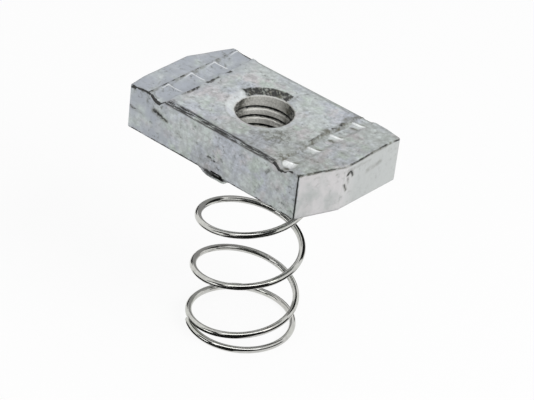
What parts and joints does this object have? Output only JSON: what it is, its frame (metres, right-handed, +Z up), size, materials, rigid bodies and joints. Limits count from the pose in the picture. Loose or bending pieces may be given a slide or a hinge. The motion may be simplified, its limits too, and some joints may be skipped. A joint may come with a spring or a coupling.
{
  "type": "channel nut with spring",
  "caption": "Thick plate nut for slotted channel, with clipped corners, toothed grooves at the ends, a threaded hole and a coil spring underneath that holds it against the lips.",
  "frame": {"origin": "on the surface that the spring's foot stands on, under the axis of the thread", "axes": "+Z up along the thread, +X along the plate's length, +Y across its width"},
  "size_m": [0.0344, 0.019, 0.0374],
  "materials": {
    "zinc_plate": "zinc plated, satin, slightly blue and mottled, with dark scuffed edges",
    "spring_wire": "bright drawn spring wire"
  },
  "bodies": {
    "spring": {"spring": "spring_wire"},
    "nut": {"nut_plate": "zinc_plate"}
  },
  "joints": [
    {"name": "nut_press", "type": "slide", "parent": "spring", "child": "nut", "axis": [0, 0, 1], "range_m": [-0.019, 0], "stiffness_N_per_m": 760, "springref_m": 0.00043, "deforming": ["spring"]}
  ]
}
